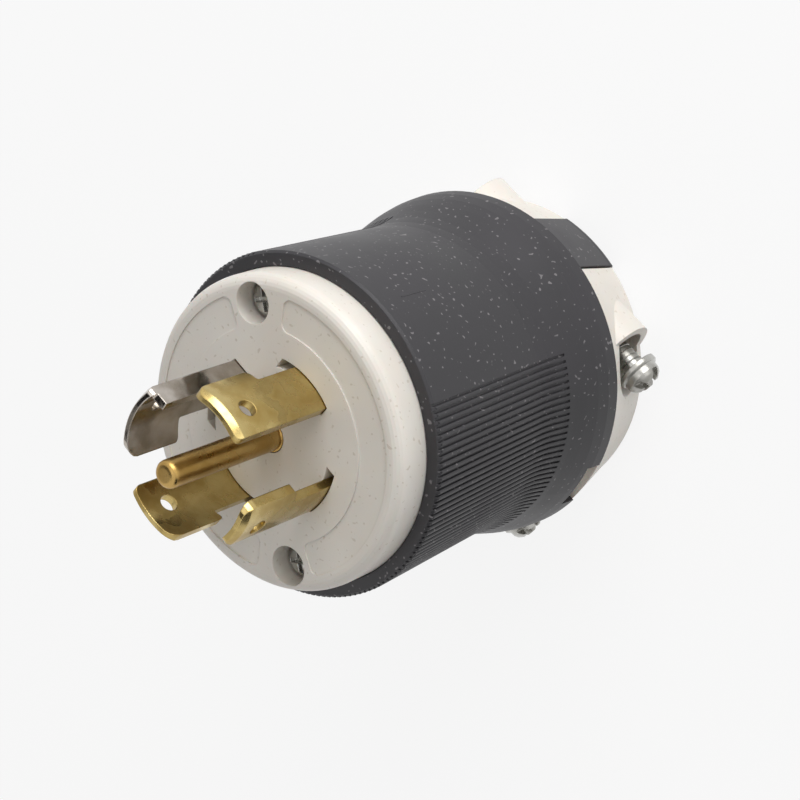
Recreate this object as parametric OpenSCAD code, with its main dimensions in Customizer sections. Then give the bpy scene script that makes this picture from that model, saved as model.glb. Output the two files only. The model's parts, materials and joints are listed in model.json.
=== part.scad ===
// Locking power plug with a turned-and-flared ribbed shell, a moulded face,
// four hooked arc blades round a centre pin, and a two-jaw cord clamp.
// The plug stands on its rear end: Z = 0 is the rear face, +Z runs along the
// plug's axis towards the blades, +X is where the clamp screws' heads are.

/* [Shell] */
// Radius of the shell at its front edge
shell_front_r = 29.7; // [28.8:0.1:33]
// Width of the rim that the shell leaves round the face
rim_w = 2.7; // [2.2:0.1:3.5]
// How much smaller the waist's radius is than the front edge's
waist_in = 1.1; // [0:0.1:1.5]
// How much larger the flange's radius is than the front edge's
flange_out = 2.2; // [1:0.1:4]
// Length over which the waist swells into the flange
flare_len = 18; // [12:0.5:20]
// Thickness of the shell's wall
shell_wall = 2.6; // [2:0.1:3]
// Thickness of the shell's rear floor
floor_t = 3; // [2:0.1:4]
// Height of the wiring room between the floor and the terminal carrier
wiring_h = 12; // [10.5:0.5:20]
// Width of the shell's two rear tabs
tab_w = 12.2; // [9:0.1:14]
// Thickness of the rear tabs at the flange
tab_t = 5; // [3:0.1:6]
// Width of the key notches in the flange edge
notch_w = 9.4; // [6:0.1:12]
// Depth of the key notches
notch_d = 3.5; // [2:0.1:5]
// Turn of the key notches about the axis
notch_turn = 2; // [0:0.5:5]
// How far the jaws' keys lie inside the flange's line
key_sink = 1.6; // [0.5:0.1:2.5]
// Thickness of the jaws' keys
key_t = 3; // [2:0.1:4]

/* [Grip ribs] */
// Number of rib pitches round the full circle
rib_count = 160; // [100:2:180]
// Depth of the grooves between the ribs
rib_depth = 0.35; // [0.1:0.05:0.6]
// Share of the pitch taken by a groove
groove_share = 0.4; // [0.3:0.05:0.6]
// Half angle of the ribbed zone on the +X side
grip_front_half = 56; // [20:1:70]
// Half angle of the ribbed zone on the -X side
grip_back_half = 38; // [20:1:70]
// Smooth length between the flange edge and the ribs' end
rib_gap = 11.5; // [8:0.5:16]

/* [Rear clamp] */
// Length of the domed rear behind the flange
dome_len = 15; // [13:0.1:20]
// How much smaller the dome's radius is at its rounded edge than at the flange
dome_in = 2.9; // [1:0.1:4]
// Rounding of the rear dome's edge
rear_round = 2.4; // [1:0.1:3]
// Gap between the two jaws
jaw_gap = 3; // [1:0.1:8]
// Radius of the cord opening
cord_r = 11.5; // [9:0.1:13]
// Depth of the grip teeth in the cord opening
cord_tooth = 0.9; // [0.3:0.1:1.5]
// Number of grip teeth
cord_teeth = 4; // [2:1:6]
// Distance of each clamp screw from the dome's side
clamp_screw_in = 8.4; // [7.5:0.1:9.5]
// Diameter of the clamp screws
clamp_screw_d = 4.2; // [3.5:0.1:4.8]
// How far the screw heads stand out of their bosses
head_out = 4.1; // [1:0.1:8]
// How far the clamp screws' ends pass the nuts
screw_past = 2.2; // [0:0.1:4]
// Diameter of the clamp screws' heads
clamp_head_d = 8; // [7:0.1:9]
// Height of the clamp screws' heads
clamp_head_h = 3.9; // [2.5:0.1:5]
// Radius of the round recess for the clamp screw heads
recess_r = 4.8; // [4.4:0.1:5.6]
// Wall round that recess
recess_wall = 1.6; // [1:0.1:2]
// How far the bosses' ends lie inside the dome's line
boss_in = 0.9; // [0:0.1:2]
// Depth of the recesses
recess_depth = 7.5; // [5:0.1:10]
// Width across the flats of the clamp nuts
nut_af = 8.7; // [7:0.1:9.5]
// Thickness of the clamp nuts
nut_t = 3.2; // [2.4:0.1:4]

/* [Face] */
// How far the face stands out of the shell
face_proud = 6.5; // [4:0.1:8]
// How far the face reaches into the shell
face_seat = 10; // [8:0.5:12]
// Rounding of the face's edge
face_round = 2.2; // [1:0.1:2.8]
// Clearance between moulded parts
fit_gap = 0.15; // [0.1:0.05:0.25]
// Distance of the two sunk bands from the face's edge
band_in = 2.9; // [2.8:0.1:4]
// Width of the two sunk bands
band_w = 5.6; // [3.5:0.1:6]
// Depth of the sunk bands
band_d = 0.25; // [0.1:0.05:0.6]
// Rounding of the bands' corners
band_round = 1.4; // [0.5:0.1:1.7]
// Angle that the bands leave free before the screws
band_gap = 17; // [14:0.5:25]
// Angle that the bands leave free past the screws
band_start = 12; // [11:0.5:20]

/* [Contacts] */
// Outer radius of the ring on which the blades lie
blade_r = 13.9; // [13.5:0.1:14.2]
// Thickness of the contact sheet
sheet = 1.5; // [1:0.05:1.8]
// Length of the blades in front of the face
blade_len = 20.4; // [17:0.1:24]
// Clear height of the face under the blades' hooks
hook_clear = 8.8; // [6:0.1:13]
// Rounding of the blades' corners
blade_round = 1.1; // [0.5:0.1:2]
// Depth of the lead-in bevel at the blades' tips
lead_in = 0.6; // [0.2:0.1:1]
// Diameter of the hole near each blade's tip
blade_hole_d = 3; // [2:0.1:3.6]
// Distance of that hole from the tip
blade_hole_in = 5; // [4:0.1:7]
// Direction, root width and hook length of the first line blade
line_1 = [85.2, 8.6, 2.4];
// Direction, root width and hook length of the second line blade
line_2 = [262.8, 8.8, 2.1];
// Direction, root width and hook length of the third line blade
line_3 = [357, 6.6, 2];
// Direction, root width and hook length of the neutral blade
neutral = [178.8, 9.6, 3.6];
// Length of the neutral blade's inward leg
neutral_leg = 3; // [2.5:0.1:5]
// Direction of the ground terminal
ground_angle = 41; // [39:0.5:43]
// Diameter of the ground pin
pin_d = 4.76; // [4:0.01:5.5]
// Length of the ground pin in front of the face
pin_len = 24.8; // [22:0.1:30]
// How much wider the pin's root is, in the face, than its free end
pin_step = 0.25; // [0.2:0.05:0.5]

/* [Terminals] */
// How far the terminal legs stand outside the blades
leg_step = 4.7; // [4.2:0.1:5]
// Width of the terminal legs
leg_w = 8; // [7:0.1:8.1]
// Length of the terminal legs
leg_len = 14; // [13:0.1:16]
// Distance of the terminal screws from the legs' lower end
screw_up = 6.3; // [6:0.1:7]
// Clear room for a wire between leg and clamping plate
wire_room = 3; // [2:0.1:3.2]
// Thickness of the clamping plates
plate_t = 1.8; // [1.2:0.1:2]
// Diameter of the terminal screws
term_screw_d = 4; // [3:0.1:4.4]
// Diameter of the terminal screws' heads
term_head_d = 6.8; // [6:0.1:7.6]
// Diameter of the wire wells
well_d = 5.6; // [4:0.1:6]
// Height of the terminal carrier
carrier_h = 24; // [22:0.5:25]

/* [Assembly screws] */
// Distance of the assembly screws from the carrier's side
asm_in = 3.5; // [3:0.1:4]
// Direction of the first assembly screw
asm_angle = 135; // [133:0.5:137]
// Diameter of the assembly screws
asm_d = 3.5; // [3:0.1:3.9]
// Diameter of their heads
asm_head_d = 6.2; // [5.5:0.1:6.6]
// Height of their heads
asm_head_h = 2.2; // [1.6:0.1:3]
// Depth of the heads' tops below the face
asm_sink = 2.8; // [1:0.1:6]
// Length of the threaded inserts
insert_len = 10; // [7:0.5:10.5]
// Outer diameter of the threaded inserts
insert_d = 5.6; // [5:0.1:6]

/* [Hidden] */

black_nylon = "#3b393d";
white_nylon = "#e6e2dc";
brass_metal = "#b99a55";
nickel_plate = "#b8b2a8";
zinc_plate = "#b4b6b6";
green_zinc = "#3f7d55";

// Sets of facets for large, middle and small rounds
fn_large = 96;
fn_mid = 48;
fn_small = 24;
// A cut runs this far past the face it opens
over = 1;
// Clearance between a screw and the thread that holds it
thread_gap = 0.05;

// Heights, from the rear face up
carrier_z = dome_len + floor_t + wiring_h;
carrier_top = carrier_z + carrier_h;
front_z = carrier_top + face_seat;
face_z = front_z + face_proud;
flare_z = dome_len + flare_len;
rib_z = dome_len + rib_gap;
blade_tip_z = face_z + blade_len;
hook_z = face_z + hook_clear;
blade_hole_z = blade_tip_z - blade_hole_in;
shoulder_z = carrier_top - sheet;
leg_z = carrier_top - leg_len;
term_screw_z = leg_z + screw_up;
pin_tip_z = face_z + pin_len;
clamp_screw_z = dome_len / 2 + 0.4;

// Shell, face and carrier
waist_r = shell_front_r - waist_in;
flange_r = shell_front_r + flange_out;
rear_r = flange_r - dome_in;
face_r = shell_front_r - rim_w;
bore_r = waist_r - shell_wall;
face_bore_r = face_r + fit_gap;
carrier_r = bore_r - 2 * fit_gap;
edge_chamfer = 0.4;
aperture_r = cord_r + 2;
asm_r = carrier_r - asm_in;
insert_wall = 1.8;

// Tabs, keys and jaws
jaw_inset = 0.3;
tab_in = flange_r - tab_t;
key_gap = 0.3;
key_w = notch_w - 2 * key_gap;
key_out_r = flange_r - key_sink;
key_in_r = key_out_r - key_t;
clamp_screw_y = rear_r - clamp_screw_in;
boss_x = sqrt(pow(rear_r, 2) - pow(clamp_screw_y, 2)) - boss_in;
recess_x = boss_x - recess_depth;
clamp_head_x = boss_x + head_out;

// Ground pin
pin_root_r = pin_d / 2 + pin_step;
collar_d = pin_d + 3;
tail_d = pin_d - 1.4;
stake_h = 1.1;

// Terminals: leg, wire, clamping plate and screw tip, from the outside in
leg_r = blade_r + leg_step;
leg_in = leg_r - sheet;
wire_r = leg_in - wire_room / 2;
plate_out = leg_in - wire_room;
plate_in = plate_out - plate_t;
screw_tip_r = plate_in - 0.4;
pocket_in = screw_tip_r - 0.3;
pocket_w = leg_w + 0.4;
hole_gap = 0.4;
contact_in = sqrt(pow(blade_r - sheet, 2) - pow(leg_w / 2, 2));
term_head_h = 2.4;

// Radius of the shell's outside at height z: a straight taper up to the
// front edge, and a smooth swell down to the flange
function swell(z) = z >= flare_z ? 0 : pow(sin(90 * (flare_z - z) / flare_len), 2);
function taper(z) = waist_r + (shell_front_r - waist_r) * max(0, z - flare_z) / (front_z - flare_z);
function shell_r(z) = taper(z) + (flange_r - waist_r) * swell(z);

// Radius of the rear dome at height z: a cone that ends in a rounded edge
function dome_r(z) = z >= rear_round
    ? rear_r + (flange_r - rear_r) * (z - rear_round) / (dome_len - rear_round)
    : rear_r - rear_round + sqrt(max(0, pow(rear_round, 2) - pow(rear_round - z, 2)));

// Heights between two ends in n equal steps
function steps(from, to, n) = [for (i = [0:n]) from + (to - from) * i / n];

// Points of a rounded corner: p is the corner, a and b the points before and after
function unit(v) = v / norm(v);
function corner(a, p, b, r, n = 4) =
    let (u = unit(a - p), v = unit(b - p),
        half = acos(u * v) / 2,
        centre = p + unit(u + v) * r / sin(half),
        s = p + u * r / tan(half) - centre,
        e = p + v * r / tan(half) - centre,
        turn = cross(s, e) > 0 ? 180 - 2 * half : 2 * half - 180)
    [for (i = [0:n]) let (t = turn * i / n)
        centre + [s[0] * cos(t) - s[1] * sin(t), s[0] * sin(t) + s[1] * cos(t)]];

// Outline with a radius at each point, 0 for a sharp corner
function rounded(pts, radii) = [for (i = [0:len(pts) - 1])
    let (n = len(pts), a = pts[(i + n - 1) % n], b = pts[(i + 1) % n])
    each radii[i] > 0 ? corner(a, pts[i], b, radii[i]) : [pts[i]]];

// Turns its children to each of the two assembly screws
module at_assembly_screws() {
    for (a = [asm_angle, asm_angle + 180])
        rotate([0, 0, a]) translate([asm_r, 0, 0]) children();
}

// Puts its children, drawn along +Z, on each clamp screw's line, pointing along +X
module at_clamp_screws() {
    for (y = [-clamp_screw_y, clamp_screw_y])
        translate([0, y, clamp_screw_z]) rotate([0, 90, 0]) children();
}

// Round bar or hole from z to z + h
module rod(r, z, h, fn = fn_small) {
    translate([0, 0, z]) cylinder(r = r, h = h, $fn = fn);
}

// Block from x0 to x1, centred in Y, from z0 to z1
module bar(x0, x1, w, z0, z1) {
    translate([x0, -w / 2, z0]) cube([x1 - x0, w, z1 - z0]);
}

// ---- Shell ----

// Lathe outline of the shell's outside
function shell_outline() = [
    each [for (z = steps(dome_len, flare_z, 7)) [shell_r(z), z]],
    [shell_front_r, front_z - edge_chamfer],
    [shell_front_r - edge_chamfer, front_z]];

// Lathe outline of the hollow: it follows the wall up to the carrier's seat
module shell_solid() {
    inside_low = [for (z = steps(dome_len + floor_t, flare_z, 6)) [shell_r(z) - shell_wall, z]];
    rotate_extrude($fn = fn_large) polygon([
        [0, dome_len], each shell_outline(), [face_bore_r, front_z],
        [face_bore_r, carrier_top], [bore_r, carrier_top],
        for (i = [len(inside_low) - 1:-1:0]) inside_low[i],
        [0, dome_len + floor_t]]);
}

// One groove between two ribs, following the shell's outside at a set depth
module groove() {
    w = groove_share * 360 / rib_count;
    zs = [each steps(rib_z, flare_z, 3), front_z + over];
    rotate([0, 0, -w / 2]) rotate_extrude(angle = w, $fn = fn_large) polygon([
        each [for (z = zs) [shell_r(z) - rib_depth, z]],
        [shell_front_r + over, front_z + over],
        [shell_r(rib_z) + over, rib_z]]);
}

module grip_grooves() {
    pitch = 360 / rib_count;
    for (i = [0:rib_count - 1]) {
        a = i * pitch;
        off_front = min(a, 360 - a);
        if (off_front < grip_front_half || 180 - off_front < grip_back_half)
            rotate([0, 0, a]) groove();
    }
}

// Slice of the rear dome, drawn in by inset from the shell's line
module dome(inset) {
    low = [for (z = steps(0, rear_round, 5)) [dome_r(z) - inset, z]];
    rotate_extrude($fn = fn_large) polygon([
        [0, 0], each low, [flange_r - inset, dome_len], [0, dome_len]]);
}

module tabs() {
    intersection() {
        dome(0);
        for (s = [0, 180]) rotate([0, 0, s + 90]) bar(tab_in, flange_r + over, tab_w, 0, dome_len);
    }
}

// Bosses that stand on the shell's floor and hold the threaded inserts, each
// with a web out to the wall
module insert_bosses() {
    r = insert_d / 2 + insert_wall;
    at_assembly_screws() {
        rod(r, dome_len + floor_t / 2, wiring_h + floor_t / 2);
        bar(0, bore_r + shell_wall / 2 - asm_r, 1.2 * r, dome_len + floor_t / 2, carrier_z);
    }
}

module shell() {
    color(black_nylon) difference() {
        union() {
            shell_solid();
            tabs();
            insert_bosses();
        }
        grip_grooves();
        rod(aperture_r, dome_len - over, floor_t + 2 * over, fn_mid);
        rotate([0, 0, notch_turn]) for (s = [0, 180])
            rotate([0, 0, s]) bar(key_in_r - key_gap, flange_r + over, notch_w, dome_len - over,
                dome_len + notch_d);
        at_assembly_screws() rod(insert_d / 2, carrier_z - insert_len, insert_len + over);
    }
}

module threaded_inserts() {
    color(brass_metal) at_assembly_screws() difference() {
        rod(insert_d / 2, carrier_z - insert_len, insert_len);
        rod(asm_d / 2 + thread_gap, carrier_z - insert_len - over, insert_len + 2 * over);
    }
}

// ---- Contacts ----

// Flat outline of a blade before it is curved: a root that narrows to the
// leg's width below the face, and a hook at the tip
function blade_outline(w, hook) =
    let (neck = min(w, leg_w), step_z = carrier_top + 1)
    rounded(
        [[-neck / 2, shoulder_z], [neck / 2, shoulder_z], [neck / 2, step_z], [w / 2, step_z],
            [w / 2, hook_z], [w / 2 + hook, hook_z], [w / 2 + hook, blade_tip_z],
            [-w / 2, blade_tip_z], [-w / 2, step_z], [-neck / 2, step_z]],
        [0, 0, 0, 0, 0.4, 0.8, blade_round + 1, blade_round, 0, 0]);

// Ring of the blades' radius; g widens it on both sides
module blade_ring(z0, z1, g = 0) {
    rotate([0, 0, -60]) rotate_extrude(angle = 120, $fn = fn_large)
        translate([blade_r - sheet - g, z0]) square([sheet + 2 * g, z1 - z0]);
}

// Curved blade with its hook towards +Y, shoulder and terminal leg, in the
// direction +X
module contact(w, hook) {
    difference() {
        union() {
            intersection() {
                blade_body();
                rotate([90, 0, 90]) linear_extrude(blade_r + over) polygon(blade_outline(w, hook));
            }
            difference() {
                bar(contact_in, leg_r, leg_w, shoulder_z, carrier_top);
                rod(blade_r - sheet, shoulder_z - over, sheet + 2 * over, fn_large);
            }
            bar(leg_in, leg_r, leg_w, leg_z, carrier_top);
        }
        translate([0, 0, blade_hole_z]) rotate([0, 90, 0])
            cylinder(d = blade_hole_d, h = blade_r + over, $fn = fn_small);
        translate([leg_in - over, 0, term_screw_z]) rotate([0, 90, 0])
            cylinder(d = term_screw_d + hole_gap, h = sheet + 2 * over, $fn = fn_small);
    }
}

// The same ring as sheet, with a lead-in bevel round the outside of its tip
module blade_body() {
    rotate([0, 0, -60]) rotate_extrude(angle = 120, $fn = fn_large) polygon([
        [blade_r - sheet, shoulder_z], [blade_r, shoulder_z], [blade_r, blade_tip_z - 2 * lead_in],
        [blade_r - lead_in, blade_tip_z], [blade_r - sheet, blade_tip_z]]);
}

// Inward leg along the neutral blade's free edge; g widens it on all sides
module blade_leg(z0, z1, g = 0) {
    edge_y = -neutral[1] / 2;
    x1 = sqrt(pow(blade_r - sheet / 2, 2) - pow(edge_y, 2));
    translate([x1 - neutral_leg - g, edge_y - g, z0]) cube([neutral_leg + g, sheet + 2 * g, z1 - z0]);
}

module neutral_contact() {
    color(nickel_plate) rotate([0, 0, neutral[0]]) {
        contact(neutral[1], neutral[2]);
        blade_leg(carrier_top + 1, blade_tip_z - blade_round);
    }
}

module line_contact(b) {
    color(brass_metal) rotate([0, 0, b[0]]) contact(b[1], b[2]);
}

module line_contact_1() { line_contact(line_1); }
module line_contact_2() { line_contact(line_2); }
module line_contact_3() { line_contact(line_3); }

module ground_pin() {
    tip_round = 1.1;
    tip = [for (i = [0:4]) [pin_d / 2 - tip_round + tip_round * cos(i * 22.5),
        pin_tip_z - tip_round + tip_round * sin(i * 22.5)]];
    color(brass_metal) rotate_extrude($fn = fn_mid) polygon([
        [0, shoulder_z - sheet - stake_h], [tail_d / 2 + 0.6, shoulder_z - sheet - stake_h],
        [tail_d / 2 + 0.9, shoulder_z - sheet], [tail_d / 2, shoulder_z - sheet],
        [tail_d / 2, shoulder_z], [collar_d / 2, shoulder_z], [collar_d / 2, carrier_top],
        [pin_root_r, carrier_top], [pin_root_r, face_z], [pin_d / 2, face_z],
        each tip, [0, pin_tip_z]]);
}

module ground_strap() {
    z = shoulder_z - sheet;
    color(brass_metal) rotate([0, 0, ground_angle]) difference() {
        union() {
            bar(0, leg_r, leg_w, z, shoulder_z);
            rod(leg_w / 2, z, sheet);
            bar(leg_in, leg_r, leg_w, leg_z, shoulder_z);
        }
        rod(tail_d / 2, z - over, sheet + 2 * over, fn_mid);
        translate([leg_in - over, 0, term_screw_z]) rotate([0, 90, 0])
            cylinder(d = term_screw_d + hole_gap, h = sheet + 2 * over, $fn = fn_small);
    }
}

// ---- Terminals ----

// Clamping plate that its screw draws out towards the leg
module clamp_plate(a) {
    color(zinc_plate) rotate([0, 0, a]) difference() {
        bar(plate_in, plate_out, leg_w, term_screw_z - leg_w / 2, term_screw_z + leg_w / 2);
        translate([plate_in - over, 0, term_screw_z]) rotate([0, 90, 0])
            cylinder(r = term_screw_d / 2 + thread_gap, h = plate_t + 2 * over, $fn = fn_small);
    }
}

module neutral_clamp_plate() { clamp_plate(neutral[0]); }
module ground_clamp_plate() { clamp_plate(ground_angle); }
module line_clamp_plate_1() { clamp_plate(line_1[0]); }
module line_clamp_plate_2() { clamp_plate(line_2[0]); }
module line_clamp_plate_3() { clamp_plate(line_3[0]); }

// Slotted binding-head screw through a terminal leg
module terminal_screw(a, c) {
    slot_w = 1;
    slot_d = 1.1;
    color(c) rotate([0, 0, a]) translate([0, 0, term_screw_z]) difference() {
        rotate([0, 90, 0]) rotate_extrude($fn = fn_small) polygon([
            [0, screw_tip_r], [term_screw_d / 2 - 0.3, screw_tip_r],
            [term_screw_d / 2, screw_tip_r + 0.3], [term_screw_d / 2, leg_r],
            [term_head_d / 2, leg_r], [term_head_d / 2, leg_r + term_head_h - 0.7],
            [term_head_d / 2 - 0.8, leg_r + term_head_h], [0, leg_r + term_head_h]]);
        translate([leg_r + term_head_h - slot_d, -slot_w / 2, -term_head_d])
            cube([slot_d + over, slot_w, 2 * term_head_d]);
    }
}

module line_terminal_screws() {
    for (b = [line_1, line_2, line_3]) terminal_screw(b[0], brass_metal);
}
module neutral_terminal_screw() { terminal_screw(neutral[0], zinc_plate); }
module ground_terminal_screw() { terminal_screw(ground_angle, green_zinc); }

// Moulded block behind the face with a pocket and a wire well per terminal
module terminal_carrier() {
    angles = [neutral[0], line_1[0], line_2[0], line_3[0], ground_angle];
    funnel = 1.6;
    color(white_nylon) difference() {
        rod(carrier_r, carrier_z, carrier_h, fn_large);
        for (a = angles) rotate([0, 0, a]) {
            bar(pocket_in, carrier_r + over, pocket_w, leg_z, carrier_top + over);
            bar(min(pocket_in, contact_in - fit_gap), leg_r, pocket_w, shoulder_z - fit_gap,
                carrier_top + over);
            translate([wire_r, 0, 0]) {
                rod(well_d / 2, carrier_z - over, leg_z - carrier_z + 2 * over);
                translate([0, 0, carrier_z - 0.01])
                    cylinder(r1 = well_d / 2 + funnel, r2 = well_d / 2, h = funnel, $fn = fn_small);
            }
        }
        rotate([0, 0, ground_angle])
            bar(0, leg_r, pocket_w, shoulder_z - sheet, carrier_top + over);
        rod(max(collar_d, leg_w) / 2 + 2 * fit_gap, shoulder_z - sheet - stake_h - hole_gap, carrier_h);
        at_assembly_screws() {
            rod((asm_d + hole_gap) / 2, carrier_z - over, carrier_h + 2 * over);
            bar(0, carrier_r, asm_d + hole_gap, carrier_z - over, carrier_top + over);
        }
    }
}

// ---- Face ----

// Slot for a blade and its hook, wide enough to pass both from behind
module blade_slot(b) {
    rotate([0, 0, b[0]]) intersection() {
        blade_ring(carrier_top - over, face_z + over, fit_gap);
        bar(0, blade_r + over, b[1] + 2 * fit_gap, carrier_top - over, face_z + over);
    }
    rotate([0, 0, b[0]]) intersection() {
        blade_ring(carrier_top - over, face_z + over, fit_gap);
        translate([0, 0, carrier_top - over])
            cube([blade_r + over, b[1] / 2 + b[2] + fit_gap, face_z - carrier_top + 2 * over]);
    }
}

// Slice of a ring between two radii and two directions
module ring_sector(r0, r1, a0, a1, h) {
    rotate([0, 0, a0]) rotate_extrude(angle = a1 - a0, $fn = fn_large)
        translate([r0, 0]) square([r1 - r0, h]);
}

// Sunk band with round-cornered ends between the two screws
module face_band(a0, a1) {
    r1 = face_r - band_in;
    r0 = r1 - band_w;
    c = band_round;
    inner_turn = asin(c / (r0 + c));
    outer_turn = asin(c / (r1 - c));
    translate([0, 0, face_z - band_d]) {
        ring_sector(r0 + c, r1 - c, a0, a1, band_d + over);
        ring_sector(r0, r0 + 1.5 * c, a0 + inner_turn, a1 - inner_turn, band_d + over);
        ring_sector(r1 - 1.5 * c, r1, a0 + outer_turn, a1 - outer_turn, band_d + over);
        for (a = [a0 + inner_turn, a1 - inner_turn]) rotate([0, 0, a])
            translate([r0 + c, 0, 0]) cylinder(r = c, h = band_d + over, $fn = fn_mid);
        for (a = [a0 + outer_turn, a1 - outer_turn]) rotate([0, 0, a])
            translate([r1 - c, 0, 0]) cylinder(r = c, h = band_d + over, $fn = fn_mid);
    }
}

module face_insulator() {
    edge = [for (i = [0:6]) [face_r - face_round + face_round * cos(i * 15),
        face_z - face_round + face_round * sin(i * 15)]];
    head_z = face_z - asm_sink - asm_head_h;
    color(white_nylon) difference() {
        rotate_extrude($fn = fn_large) polygon([
            [0, carrier_top], [face_r, carrier_top], each edge, [0, face_z]]);
        for (b = [line_1, line_2, line_3, neutral]) blade_slot(b);
        rotate([0, 0, neutral[0]]) blade_leg(carrier_top - over, face_z + over, fit_gap);
        rod(pin_root_r + fit_gap, carrier_top - over, face_z - carrier_top + 2 * over, fn_mid);
        at_assembly_screws() {
            rod((asm_d + hole_gap) / 2, carrier_top - over, face_z);
            rod(asm_head_d / 2 + hole_gap, head_z, face_z, fn_mid);
        }
        for (a = [asm_angle - 180, asm_angle]) face_band(a + band_start, a + 180 - band_gap);
    }
}

// ---- Screws ----

// Cross and slot cut into a head whose top lies at height z
module drive_cut(size, z, depth) {
    for (a = [0, 90]) rotate([0, 0, a])
        translate([-size / 2, -size / 10, z - depth]) cube([size, size / 5, depth + over]);
}

module assembly_screws() {
    top = face_z - asm_sink;
    end = carrier_z - insert_len + 0.6;
    r = asm_d / 2;
    head = asm_head_d / 2;
    color(zinc_plate) at_assembly_screws() difference() {
        rotate_extrude($fn = fn_small) polygon([
            [0, end], [r - 0.5, end], [r, end + 0.5], [r, top - asm_head_h],
            [head, top - asm_head_h], [head, top - 0.9], [head - 0.9, top - 0.15], [0, top]]);
        drive_cut(asm_head_d * 0.66, top, 1.2);
    }
}

// Pan-head screw with a rim under its head
module cord_clamp_screws() {
    r = clamp_screw_d / 2;
    rim = clamp_head_d / 2;
    end = -recess_x - nut_t - screw_past;
    top = clamp_head_x + clamp_head_h;
    color(zinc_plate) at_clamp_screws() difference() {
        rotate_extrude($fn = fn_small) polygon([
            [0, end], [r - 0.6, end], [r, end + 0.6], [r, clamp_head_x], [rim, clamp_head_x],
            [rim, clamp_head_x + 0.8], [rim - 0.3, clamp_head_x + 1.1], [rim - 0.6, clamp_head_x + 1.1],
            [rim - 0.7, top - 1.6], [rim - 1.1, top - 0.9], [rim - 1.9, top - 0.3], [0, top]]);
        drive_cut(clamp_head_d, top, 1.5);
    }
}

module cord_clamp_nuts() {
    color(zinc_plate) at_clamp_screws() difference() {
        translate([0, 0, -recess_x - nut_t]) cylinder(d = nut_af / cos(30), h = nut_t, $fn = 6);
        rod(clamp_screw_d / 2 + thread_gap, -recess_x - nut_t - over, nut_t + 2 * over);
    }
}

// ---- Cord clamp ----

// Opening for the cord: a round wall with V-grooves between its grip lands
module cord_opening() {
    pitch = dome_len / cord_teeth;
    rod(cord_r, -over, dome_len + 2 * over, fn_mid);
    rotate_extrude($fn = fn_mid) polygon([
        [0, pitch / 4], for (i = [0:cord_teeth - 1]) each [
            [cord_r - 0.1, pitch * (i + 0.25)],
            [cord_r + cord_tooth, pitch * (i + 0.5)],
            [cord_r - 0.1, pitch * (i + 0.75)]],
        [0, dome_len - pitch / 4]]);
}

// One jaw, on the +X side of the middle plane, with its bosses and key
module jaw_body() {
    top = dome_len - fit_gap;
    difference() {
        union() {
            intersection() {
                dome(jaw_inset);
                bar(jaw_gap / 2, flange_r, 2 * flange_r, 0, top);
            }
            intersection() {
                at_clamp_screws()
                    rod(recess_r + recess_wall, jaw_gap / 2, boss_x - jaw_gap / 2, fn_mid);
                bar(0, flange_r, 2 * flange_r, 0, top);
            }
            rotate([0, 0, notch_turn]) difference() {
                bar(key_in_r, flange_r, key_w, top - 1, dome_len + notch_d - key_gap);
                difference() {
                    rod(flange_r + over, 0, front_z, fn_large);
                    rod(key_out_r, 0, front_z, fn_large);
                }
            }
        }
        for (s = [0, 180]) rotate([0, 0, s + 90])
            bar(tab_in - 2 * fit_gap, flange_r + over, tab_w + 4 * fit_gap, -over, dome_len + over);
        cord_opening();
        at_clamp_screws() rod((clamp_screw_d + hole_gap) / 2, 0, flange_r);
    }
}

module clamp_jaw_screw_side() {
    color(white_nylon) difference() {
        jaw_body();
        at_clamp_screws() rod(recess_r, recess_x, flange_r, fn_mid);
    }
}

module clamp_jaw_nut_side() {
    color(white_nylon) difference() {
        rotate([0, 0, 180]) jaw_body();
        at_clamp_screws() translate([0, 0, -recess_x - flange_r])
            cylinder(d = (nut_af + 2 * fit_gap) / cos(30), h = flange_r, $fn = 6);
    }
}

shell();
face_insulator();
terminal_carrier();
ground_pin();
ground_strap();
neutral_contact();
line_contact_1();
line_contact_2();
line_contact_3();
neutral_clamp_plate();
ground_clamp_plate();
line_clamp_plate_1();
line_clamp_plate_2();
line_clamp_plate_3();
line_terminal_screws();
neutral_terminal_screw();
ground_terminal_screw();
assembly_screws();
threaded_inserts();
clamp_jaw_screw_side();
clamp_jaw_nut_side();
cord_clamp_screws();
cord_clamp_nuts();
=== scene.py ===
# %% [markdown]
# # A locking power plug, dressed on its engineering frame
# The real plug is a black nylon shell round a white nylon face, which carries a brass ground pin and
# four formed blades. Two white jaws close round the cord at the back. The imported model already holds
# each of these as a solid of the right size. This lesson keeps those solids, gives each one the
# finish of its real material, and adds the fine parts that solids leave out, such as rounded rib
# crowns and screw threads. The frame is loaded first, because every later piece is placed from it.

# %% Load the frame
import json
import math

import bpy
from mathutils import Matrix, Vector


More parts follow.
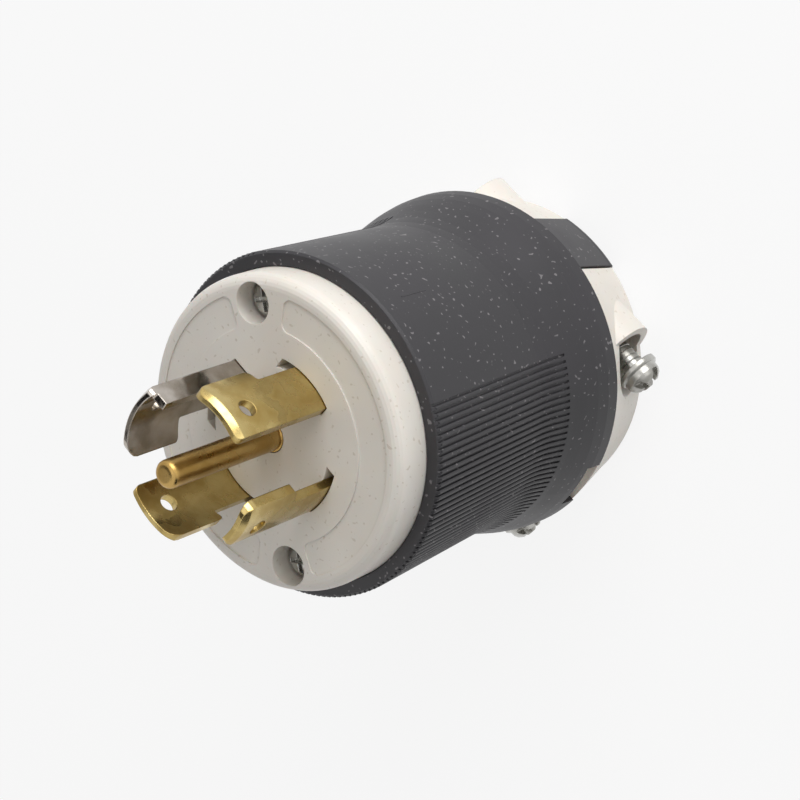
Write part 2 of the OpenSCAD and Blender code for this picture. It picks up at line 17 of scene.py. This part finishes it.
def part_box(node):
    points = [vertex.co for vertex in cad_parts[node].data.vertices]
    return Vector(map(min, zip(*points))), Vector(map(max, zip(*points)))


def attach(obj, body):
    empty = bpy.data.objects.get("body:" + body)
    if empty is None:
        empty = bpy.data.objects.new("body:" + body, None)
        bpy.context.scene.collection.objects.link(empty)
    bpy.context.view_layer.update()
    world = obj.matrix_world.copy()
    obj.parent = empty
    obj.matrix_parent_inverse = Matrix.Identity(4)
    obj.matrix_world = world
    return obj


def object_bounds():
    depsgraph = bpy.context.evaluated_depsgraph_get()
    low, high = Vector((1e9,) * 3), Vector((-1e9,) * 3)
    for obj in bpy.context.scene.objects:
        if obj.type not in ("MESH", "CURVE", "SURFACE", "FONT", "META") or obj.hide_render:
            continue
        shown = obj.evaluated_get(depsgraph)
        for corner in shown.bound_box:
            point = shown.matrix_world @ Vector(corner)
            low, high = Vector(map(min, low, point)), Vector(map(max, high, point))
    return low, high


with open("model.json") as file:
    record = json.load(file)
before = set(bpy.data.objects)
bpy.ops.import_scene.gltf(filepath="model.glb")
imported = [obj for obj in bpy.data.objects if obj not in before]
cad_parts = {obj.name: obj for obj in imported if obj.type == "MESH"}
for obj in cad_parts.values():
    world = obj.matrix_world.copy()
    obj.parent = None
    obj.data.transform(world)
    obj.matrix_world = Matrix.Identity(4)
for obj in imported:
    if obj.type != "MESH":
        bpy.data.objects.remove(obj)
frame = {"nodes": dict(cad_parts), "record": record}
nodes = frame["nodes"]
mm = 0.001
cad_box = [list(corner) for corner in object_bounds()]
print(len(nodes), "nodes; box in mm:", [[round(v / mm, 1) for v in corner] for corner in cad_box])

# %% [markdown]
# ## The camera
# A long lens keeps the round face close to a true ellipse. In the frame the plug stands on its rear
# end, so the camera looks down on it from one side and is rolled until the blades point to the lower
# left. A place, a line of sight and an up vector say that more plainly than three angles would.

# %% Place the camera
camera_data = bpy.data.cameras.new("view_camera")
camera_data.lens = 90
camera_data.sensor_width = 36
camera = bpy.data.objects.new("view_camera", camera_data)
bpy.context.scene.collection.objects.link(camera)
bpy.context.scene.camera = camera
sight = Vector((-0.299, -0.5845, -0.755)).normalized()
right = sight.cross(Vector((-0.7115, 0.6637, -0.2318))).normalized()
up = right.cross(sight)
turn = Matrix((right, up, -sight)).transposed().to_4x4()
camera.matrix_world = Matrix.Translation(Vector((107, 205, 303)) * mm) @ turn
print("the picture's up direction:", [round(v, 2) for v in up])


# %% [markdown]
# ## Two helpers for node trees
# Every material and every Geometry Nodes tree is a list of nodes and links. One function adds a node
# together with its settings and what feeds it, so a tree reads from its first node to its last.
# Colours are written as sRGB hex, as a paint chart gives them, and turned to linear values here.


# %% The node and colour helpers
def add(tree, kind, inputs=None, **settings):
    """Adds a node. inputs maps a socket's name or number to a value, or to what feeds it."""
    made = tree.nodes.new(kind)
    for name, value in settings.items():
        setattr(made, name, value)
    for key, value in (inputs or {}).items():
        if isinstance(value, bpy.types.NodeSocket):
            tree.links.new(value, made.inputs[key])
        else:
            made.inputs[key].default_value = value
    return made


def colour(hex_text):
    """An sRGB colour such as #b8985a as linear red, green, blue and alpha."""
    parts = [int(hex_text[i : i + 2], 16) / 255 for i in (1, 3, 5)]
    linear = [p / 12.92 if p <= 0.04045 else ((p + 0.055) / 1.055) ** 2.4 for p in parts]
    return (*linear, 1.0)


print("mid grey in linear values:", [round(v, 3) for v in colour("#808080")])


# %% [markdown]
# ## Floor, backdrop and light
# A studio shot on white needs a floor that is white to the camera and to polished metal but doesn't
# flood the plug with light, so the Light Path node tells those rays apart. The lamps are wide, which
# gives satin nylon long soft highlights. Polished metal shows its surroundings, so two dark cards
# that only reflections can see stand beside the plug, as they do in a photographer's studio.


# %% White surroundings
def seen_directly(tree):
    """1 for rays from the camera, a mirror or glass, and 0 for light that falls on the plug."""
    path = add(tree, "ShaderNodeLightPath")
    either = add(tree, "ShaderNodeMath", {0: path.outputs["Is Camera Ray"],
                 1: path.outputs["Is Glossy Ray"]}, operation="MAXIMUM")
    return add(tree, "ShaderNodeMath", {0: either.outputs[0],
               1: path.outputs["Is Transmission Ray"]}, operation="MAXIMUM").outputs[0]


world = bpy.data.worlds.new("studio_white")
bpy.context.scene.world = world
world.use_nodes = True
tree = world.node_tree
tree.nodes.clear()
soft = add(tree, "ShaderNodeBackground", {"Color": colour("#ffffff"), "Strength": 0.42})
white_paper = add(tree, "ShaderNodeBackground", {"Color": colour("#ffffff"), "Strength": 1.0})
blend = add(tree, "ShaderNodeMixShader", {0: seen_directly(tree), 1: soft.outputs[0],
            2: white_paper.outputs[0]})
add(tree, "ShaderNodeOutputWorld", {"Surface": blend.outputs[0]})
print("world:", world.name)


# %% The floor, with the plug's soft shadow on it
def square(name, half, place, facing):
    """A flat square of that half width at a place, facing a direction, with no object transform."""
    turned = facing.to_track_quat("Z", "Y").to_matrix().to_4x4()
    to_place = Matrix.Translation(place) @ turned
    corners = [to_place @ Vector((x * half, y * half, 0))
               for x, y in ((-1, -1), (1, -1), (1, 1), (-1, 1))]
    mesh = bpy.data.meshes.new(name)
    mesh.from_pydata(corners, [], [(0, 1, 2, 3)])
    made = bpy.data.objects.new(name, mesh)
    bpy.context.scene.collection.objects.link(made)
    return made


glow_share = 0.85  # the rest is matt paper, which takes the shadow
paper = bpy.data.materials.new("seamless_paper")
paper.use_nodes = True
tree = paper.node_tree
tree.nodes.clear()
matt = add(tree, "ShaderNodeBsdfDiffuse", {"Color": colour("#f2f2f2")})
glow = add(tree, "ShaderNodeEmission", {"Color": colour("#ffffff"), "Strength": 1.0})
share = add(tree, "ShaderNodeMath", {0: seen_directly(tree), 1: glow_share}, operation="MULTIPLY")
blend = add(tree, "ShaderNodeMixShader", {0: share.outputs[0], 1: matt.outputs[0],
            2: glow.outputs[0]})
add(tree, "ShaderNodeOutputMaterial", {"Surface": blend.outputs[0]})
floor = square("floor", 6.0, Vector((0, 0, cad_box[0][2])), Vector((0, 0, 1)))
floor.data.materials.append(paper)
print("floor at z =", round(cad_box[0][2] / mm, 2), "mm")

# %% Wide lamps, all looking at the plug's middle
middle = Vector((0, 0, 45)) * mm
lamps = (  # name, direction, distance and width in metres, watts
    ("key", Vector((-0.30, 0.93, 0.22)), 0.6, 0.45, 3.0),
    ("fill", right * 0.7 - sight * 0.8 + up * 0.2, 0.8, 0.5, 0.9),
    ("front", -sight - right * 0.6, 0.9, 0.5, 0.5),
)
for name, towards, distance, width, watts in lamps:
    data = bpy.data.lights.new(name, "AREA")
    data.size = width
    data.energy = watts
    lamp = bpy.data.objects.new(name, data)
    lamp.location = middle + towards.normalized() * distance
    lamp.rotation_euler = towards.to_track_quat("Z", "Y").to_euler()
    bpy.context.scene.collection.objects.link(lamp)
bpy.context.scene.view_settings.view_transform = "Standard"

# %% Dark cards for the metals to mirror
card_distance = 0.32
black_card = bpy.data.materials.new("black_card")
black_card.use_nodes = True
card_shader = black_card.node_tree.nodes["Principled BSDF"]
card_shader.inputs["Base Color"].default_value = colour("#1c1a18")
card_shader.inputs["Roughness"].default_value = 0.9
for name, towards, half in (("card_left", -right * 0.9 - sight * 0.35 - up * 0.1, 0.10),
                            ("card_low", -up * 0.9 - sight * 0.45 + right * 0.3, 0.12)):
    card = square(name, half, middle + towards.normalized() * card_distance, -towards)
    card.data.materials.append(black_card)
    card.visible_camera = False
    card.visible_diffuse = False
    card.visible_shadow = False

# %% [markdown]
# ## Nylon
# The shell is glass-filled nylon 6/6 from a spark-eroded steel mould. Such a surface is satin, with
# a pebble grain of about 0.2 mm, a slow change of gloss where the melt flowed, and pale dust and
# scuffs that sit in the grain. Noise on Object coordinates gives all three, at scales in
# millimetres. The Bevel node rounds the highlight on every moulded edge, as the mould's radii do.
# The white parts are the same plastic unfilled: smoother, and slightly translucent.

# %% What the materials share
bump_share = 0.5  # a noise texture of scale 1 has bumps about this far across
noise_spread = {"From Min": 0.35, "From Max": 0.65}  # where nearly all of a noise's values lie


def new_material(name):
    """An empty node material, its tree, and Object coordinates in millimetres."""
    made = bpy.data.materials.new(name)
    made.use_nodes = True
    tree = made.node_tree
    tree.nodes.clear()
    place = add(tree, "ShaderNodeTexCoord")
    in_mm = add(tree, "ShaderNodeMapping", {"Vector": place.outputs["Object"],
                "Scale": (1 / mm, 1 / mm, 1 / mm)})
    return made, tree, in_mm.outputs[0]


print("noise values are spread from", noise_spread)


# %% Moulded plastics
def nylon(name, base, base_worn, speck, rough, grain_mm, grain_depth_mm, fixed):
    """Spark-eroded moulded nylon with flow shading, grain, rounded edges and pale specks."""
    made, tree, place = new_material(name)
    flow = add(tree, "ShaderNodeTexNoise", {"Vector": place, "Scale": bump_share / 9.0,
               "Detail": 3.0}).outputs[0]
    worn = add(tree, "ShaderNodeMapRange", {"Value": flow, **noise_spread}).outputs[0]
    plastic = add(tree, "ShaderNodeMix", {0: worn, 6: colour(base), 7: colour(base_worn)},
                  data_type="RGBA").outputs[2]
    spots = add(tree, "ShaderNodeTexNoise", {"Vector": place, "Scale": bump_share / 0.35,
                "Detail": 0.0}).outputs[0]
    dust = add(tree, "ShaderNodeMapRange", {"Value": spots, "From Min": 0.74, "From Max": 0.80})
    dusty = add(tree, "ShaderNodeMix", {0: dust.outputs[0], 6: plastic, 7: colour(speck)},
                data_type="RGBA")
    gloss = add(tree, "ShaderNodeMapRange", {"Value": flow, **noise_spread,
                "To Min": rough[0], "To Max": rough[1]})
    rounded = add(tree, "ShaderNodeBevel", {"Radius": 0.22 * mm}, samples=4)
    grain = add(tree, "ShaderNodeTexNoise", {"Vector": place, "Scale": bump_share / grain_mm,
                "Detail": 2.0})
    pebble = add(tree, "ShaderNodeBump", {"Height": grain.outputs[0], "Strength": 1.0,
                 "Distance": grain_depth_mm * mm, "Normal": rounded.outputs[0]})
    shader = add(tree, "ShaderNodeBsdfPrincipled", {"Base Color": dusty.outputs[2],
                 "Roughness": gloss.outputs[0], "Normal": pebble.outputs[0], **fixed})
    add(tree, "ShaderNodeOutputMaterial", {"Surface": shader.outputs[0]})
    return made


nylon_ior = 1.53
black_nylon = nylon("black_glass_filled_nylon", "#242326", "#2b292d", "#6d6a6c", (0.42, 0.52),
                    0.25, 0.006, {"IOR": nylon_ior})
white_nylon = nylon("white_nylon", "#e3ded6", "#dcd6cd", "#cfc7bb", (0.40, 0.48), 0.5, 0.003,
                    {"IOR": nylon_ior, "Subsurface Weight": 0.12, "Subsurface Scale": 0.8 * mm})
print("plastics:", black_nylon.name, white_nylon.name)

# %% [markdown]
# ## Brass, nickel and zinc
# The blades are stamped from rolled brass strip and then tumbled, which leaves shallow dents of
# about a millimetre and fine scratches in every direction. Handling darkens the brass unevenly. The
# neutral blade is the same strip with nickel on it, and the screws are steel with bright zinc, whose
# crystals show as a faint mottling. All are metals: the colour is in the reflection, and roughness
# and a very shallow bump carry the making.


# %% Metals
def metal(name, base, aged, rough, dent_mm, dent_depth_mm, scratch):
    """A tumbled or plated metal: uneven age, dents, crossing scratches, rounded stamped edges."""
    made, tree, place = new_material(name)
    cloud = add(tree, "ShaderNodeTexNoise", {"Vector": place, "Scale": bump_share / 2.2,
                "Detail": 4.0})
    age = add(tree, "ShaderNodeMapRange", {"Value": cloud.outputs[0], **noise_spread}).outputs[0]
    surface = add(tree, "ShaderNodeMix", {0: age, 6: colour(base), 7: colour(aged)},
                  data_type="RGBA")
    gloss = add(tree, "ShaderNodeMapRange", {"Value": age, **noise_spread,
                "To Min": rough[0], "To Max": rough[1]})
    scratches = []
    for k in (1, 2):  # two sets of long thin noise that cross each other
        along = add(tree, "ShaderNodeMapping", {"Vector": place, "Scale": (9.0, 0.5, 9.0),
                    "Rotation": (0.4 * k, 0.9 * k, 1.1 * k)})
        lines = add(tree, "ShaderNodeTexNoise", {"Vector": along.outputs[0],
                    "Scale": bump_share / 1.2, "Detail": 1.0})
        scratches.append(lines.outputs[0])
    crossing = add(tree, "ShaderNodeMath", {0: scratches[0], 1: scratches[1]},
                   operation="MAXIMUM")
    rounded = add(tree, "ShaderNodeBevel", {"Radius": 0.3 * mm}, samples=6)
    tumbling = add(tree, "ShaderNodeTexNoise", {"Vector": place, "Scale": bump_share / dent_mm,
                   "Detail": 1.0})
    dents = add(tree, "ShaderNodeBump", {"Height": tumbling.outputs[0], "Strength": 1.0,
                "Distance": dent_depth_mm * mm, "Normal": rounded.outputs[0]})
    marks = add(tree, "ShaderNodeBump", {"Height": crossing.outputs[0], "Strength": scratch,
                "Distance": 0.004 * mm, "Normal": dents.outputs[0]})
    shader = add(tree, "ShaderNodeBsdfPrincipled", {"Base Color": surface.outputs[2],
                 "Metallic": 1.0, "Roughness": gloss.outputs[0], "Normal": marks.outputs[0]})
    add(tree, "ShaderNodeOutputMaterial", {"Surface": shader.outputs[0]})
    return made


brass = metal("rolled_and_tumbled_brass", "#c4b077", "#ab9257", (0.20, 0.34), 1.1, 0.03, 0.5)
pin_brass = metal("turned_brass", "#bb9c60", "#a68549", (0.26, 0.36), 2.5, 0.01, 0.4)
nickel = metal("nickel_plate_on_brass", "#b9b2aa", "#958c80", (0.10, 0.24), 1.5, 0.03, 0.4)
zinc = metal("bright_zinc_on_steel", "#bdbcb8", "#94928c", (0.18, 0.36), 0.6, 0.02, 0.6)
green_zinc = metal("green_zinc_on_steel", "#3f7a4c", "#2f6a3e", (0.25, 0.4), 0.6, 0.02, 0.6)
print("metals:", brass.name, nickel.name, zinc.name, green_zinc.name)

# %% [markdown]
# ## Dress the frame
# The record says which finish slot each node takes. One table turns slots into materials, so a new
# node gets its finish with no change here. The ground pin is turned from bar and not stamped from
# strip, so it takes a brass of its own.

# %% Give each node its finish
finishes = {"black_nylon": black_nylon, "white_nylon": white_nylon, "brass_sheet": brass,
            "nickel_sheet": nickel, "zinc_steel": zinc, "green_zinc": green_zinc}
for part in frame["record"]["subparts"]:
    mesh = nodes[part["node"]].data
    mesh.materials.clear()
    mesh.materials.append(finishes[part["material_slot"]])
nodes["ground_pin"].data.materials[0] = pin_brass

# %% [markdown]
# ## Rounded crowns on the grip ribs
# The shell's grip is a field of fine ribs on each side. The solid's ribs have flat tops, while
# moulded ribs are round. A crown for each is a thin rod sunk into the rib, so only its round back
# shows. All ribs of a field are alike but for their direction, so Geometry Nodes instance one rod
# round the axis. The rod's path and the ribs' directions are felt out on the frame with rays, which
# keeps the crowns on the ribs when the shell's sizes change.

# %% Feel the shell from outside
shell = nodes["shell"]
shell_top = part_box("shell")[1].z
outside = 100 * mm  # rays start this far from the axis
probe_step = 0.125  # degrees between rays
groove_least = 0.15 * mm  # anything shallower is no groove


def felt_radius(degrees, z):
    """How far from the axis the shell's outside is in a direction, at a height."""
    way = Vector((math.cos(math.radians(degrees)), math.sin(math.radians(degrees)), 0))
    hit, where, _, _ = shell.ray_cast(way * outside + Vector((0, 0, z)), -way)
    return where.xy.length if hit else 0.0


reach = [felt_radius(i * probe_step, shell_top - 4 * mm) for i in range(int(360 / probe_step))]
crest = max(reach)
low = [r < crest - groove_least for r in reach]
starts = [i for i in range(len(low)) if low[i] and not low[i - 1]]
ends = [i for i in range(len(low)) if not low[i] and low[i - 1]]
grooves = []
for first in starts:
    after = min((last - first) % len(low) for last in ends)
    grooves.append((first + after / 2) * probe_step)
grooves.sort()
print(len(grooves), "grooves, the first at", grooves[:3], "degrees")

# %% Sort the ribs into fields
pitch = min((b - a) for a, b in zip(grooves, grooves[1:]))
fields = []
for angle in grooves:
    if fields and angle - fields[-1][-1] < 1.5 * pitch:
        fields[-1].append(angle)
    else:
        fields.append([angle])
if fields[0][0] + 360 - fields[-1][-1] < 1.5 * pitch:  # one field lies across 0 degrees
    fields[0] = [a - 360 for a in fields.pop()] + fields[0]
pitch = (fields[0][-1] - fields[0][0]) / (len(fields[0]) - 1)
print("fields:", [(len(f), round(f[0], 1), round(f[-1], 1)) for f in fields],
      "pitch", round(pitch, 3))


# %% What every tree starts and ends with
def new_tree(name, inputs):
    """A Geometry Nodes tree with named inputs: (label, socket type) pairs."""
    tree = bpy.data.node_groups.new(name, "GeometryNodeTree")
    for label, kind in inputs:
        tree.interface.new_socket(label, in_out="INPUT", socket_type=kind)
    tree.interface.new_socket("Geometry", in_out="OUTPUT", socket_type="NodeSocketGeometry")
    return tree, add(tree, "NodeGroupInput").outputs


def finish_tree(tree, geometry, material):
    """Real geometry with a material at the end of a tree."""
    real = add(tree, "GeometryNodeRealizeInstances", {"Geometry": geometry})
    coated = add(tree, "GeometryNodeSetMaterial", {"Geometry": real.outputs[0],
                 "Material": material})
    add(tree, "NodeGroupOutput", {0: coated.outputs[0]})
    print("tree:", tree.name, "with", len(tree.nodes), "nodes")


# %% A tree that turns a path into a ring of rods
rods, given = new_tree("ring_of_rods", [
    ("Path", "NodeSocketObject"), ("Count", "NodeSocketInt"), ("Start", "NodeSocketFloat"),
    ("Pitch", "NodeSocketFloat"), ("Rod radius", "NodeSocketFloat"),
    ("Material", "NodeSocketMaterial")])
path = add(rods, "GeometryNodeObjectInfo", {"Object": given["Path"]})
curve = add(rods, "GeometryNodeMeshToCurve", {"Mesh": path.outputs["Geometry"]})
along = add(rods, "GeometryNodeSplineParameter").outputs["Factor"]
fade_in = add(rods, "ShaderNodeMapRange", {"Value": along, "From Min": 0.0, "From Max": 0.08,
              "To Min": 0.45, "To Max": 1.0}, interpolation_type="SMOOTHSTEP")
section = add(rods, "GeometryNodeCurvePrimitiveCircle", {"Resolution": 10,
              "Radius": given["Rod radius"]})
rod = add(rods, "GeometryNodeCurveToMesh", {"Curve": curve.outputs[0],
          "Profile Curve": section.outputs[0], "Scale": fade_in.outputs[0], "Fill Caps": True})
points = add(rods, "GeometryNodeMeshLine", {"Count": given["Count"], "Offset": (0, 0, 0)})
index = add(rods, "GeometryNodeInputIndex").outputs[0]
angles = add(rods, "ShaderNodeMath", {0: index, 1: given["Pitch"], 2: given["Start"]},
             operation="MULTIPLY_ADD")
euler = add(rods, "ShaderNodeCombineXYZ", {"Z": angles.outputs[0]})
turned = add(rods, "FunctionNodeEulerToRotation", {0: euler.outputs[0]})
ring = add(rods, "GeometryNodeInstanceOnPoints", {"Points": points.outputs[0],
           "Instance": rod.outputs[0], "Rotation": turned.outputs[0]})
finish_tree(rods, ring.outputs[0], given["Material"])


# %% Run a tree and keep its mesh
sharp_from = math.radians(40)


def grow(name, tree, values):
    """Runs a tree on an empty mesh, keeps the result as a plain mesh and rides it on the root."""
    made = bpy.data.objects.new(name, bpy.data.meshes.new(name))
    bpy.context.scene.collection.objects.link(made)
    modifier = made.modifiers.new("tree", "NODES")
    modifier.node_group = tree
    for item in tree.interface.items_tree:
        if item.in_out == "INPUT":
            modifier[item.identifier] = values[item.name]
    depsgraph = bpy.context.evaluated_depsgraph_get()
    result = bpy.data.meshes.new_from_object(made.evaluated_get(depsgraph), depsgraph=depsgraph)
    made.modifiers.remove(modifier)
    made.data = result
    result.name = name
    result.set_sharp_from_angle(angle=sharp_from)
    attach(made, "root")
    print(name, "has", len(result.polygons), "faces")
    return made


def path_object(name, points):
    """A line of edges for a tree to follow. It is removed once the tree has run."""
    mesh = bpy.data.meshes.new(name)
    mesh.from_pydata(points, [(i, i + 1) for i in range(len(points) - 1)], [])
    made = bpy.data.objects.new(name, mesh)
    bpy.context.scene.collection.objects.link(made)
    return made


# %% Rib crowns
rod_radius = 0.38 * mm
sunk = 0.25 * mm  # a rod's middle lies this far under the rib's flat top
smooth_part = 0.3 * shell_top  # the grooves end somewhere in front of this height
groove, rib = fields[0][1], fields[0][1] + pitch / 2
foot = next(z for z in (i * 0.25 * mm for i in range(400))
            if z > smooth_part and felt_radius(groove, z) < felt_radius(rib, z) - groove_least)
crown_start, crown_length = foot + 0.4 * mm, shell_top - foot - 1.0 * mm
heights = [crown_start + crown_length * i / 16 for i in range(17)]
for number, field in enumerate(fields):
    first_rib = field[0] + pitch / 2
    line = [Vector((felt_radius(first_rib, z) - sunk, 0, z)) for z in heights]
    path = path_object("rib_path", line)
    crowns = grow(f"rib_crowns_{number + 1}", rods, {
        "Path": path, "Count": len(field) - 1, "Start": math.radians(first_rib),
        "Pitch": math.radians(pitch), "Rod radius": rod_radius, "Material": black_nylon})
    bpy.data.objects.remove(path)
print("crowns from", round(foot / mm, 1), "to", round(shell_top / mm, 1), "mm")

# %% [markdown]
# ## Mould lines on the smooth panels
# The two halves of the mould meet on the smooth panels, and leave a faint raised line near the
# front. It is the same kind of thing as a rib crown, only finer and shorter, so the same tree makes
# it with other values.

# %% Two short mould lines
panel = 90  # degrees: the middle of a smooth panel
line_heights = [shell_top - (13 - 7 * i / 6) * mm for i in range(7)]
line = [Vector((felt_radius(panel, z) - 0.05 * mm, 0, z)) for z in line_heights]
path = path_object("mould_line_path", line)
mould_lines = grow("mould_lines", rods, {
    "Path": path, "Count": 2, "Start": math.radians(panel), "Pitch": math.pi,
    "Rod radius": 0.12 * mm, "Material": black_nylon})
bpy.data.objects.remove(path)

# %% [markdown]
# ## Threads on the clamp screws
# The clamp's two long screws show their thread between the head and the recess. A thread is a small
# pointed section that follows a spiral, which is just what Curve to Mesh does. The screws are alike,
# so the thread is made once along Z, laid along X and instanced on both. Its crest stands a little
# over the plain round shank of the solid.

# %% A tree for threads
threads, given = new_tree("thread_on_two_screws", [
    ("Length", "NodeSocketFloat"), ("Pitch", "NodeSocketFloat"),
    ("Shank radius", "NodeSocketFloat"), ("Depth", "NodeSocketFloat"),
    ("Start", "NodeSocketVector"), ("Spacing", "NodeSocketVector"),
    ("Material", "NodeSocketMaterial")])
turns = add(threads, "ShaderNodeMath", {0: given["Length"], 1: given["Pitch"]},
            operation="DIVIDE")
spiral = add(threads, "GeometryNodeCurveSpiral", {"Resolution": 20, "Rotations": turns.outputs[0],
             "Start Radius": given["Shank radius"], "End Radius": given["Shank radius"],
             "Height": given["Length"]})
point = add(threads, "GeometryNodeCurvePrimitiveCircle", {"Resolution": 4,
            "Radius": given["Depth"]})
ridge = add(threads, "GeometryNodeCurveToMesh", {"Curve": spiral.outputs[0],
            "Profile Curve": point.outputs[0], "Fill Caps": True})
laid = add(threads, "GeometryNodeTransform", {"Geometry": ridge.outputs[0],
           "Rotation": (0, math.radians(90), 0)})
pair = add(threads, "GeometryNodeMeshLine", {"Count": 2, "Start Location": given["Start"],
           "Offset": given["Spacing"]})
both = add(threads, "GeometryNodeInstanceOnPoints", {"Points": pair.outputs[0],
           "Instance": laid.outputs[0]})
finish_tree(threads, both.outputs[0], given["Material"])

# %% Threads from the nuts to the heads
low_corner, high_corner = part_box("cord_clamp_screws")
head_radius = (high_corner.z - low_corner.z) / 2
head_height = 3.9 * mm
thread_in = 0.9 * mm  # the thread starts this far from the screw's tip
screw_y = high_corner.y - head_radius
screw_z = (high_corner.z + low_corner.z) / 2
clamp_threads = grow("clamp_screw_threads", threads, {
    "Length": high_corner.x - head_height - low_corner.x - 1.0 * mm, "Pitch": 1.06 * mm,
    "Shank radius": 2.1 * mm, "Depth": 0.17 * mm,
    "Start": (low_corner.x + thread_in, -screw_y, screw_z), "Spacing": (0, 2 * screw_y, 0),
    "Material": zinc})

# %% Bring the scene up to date
bpy.context.view_layer.update()
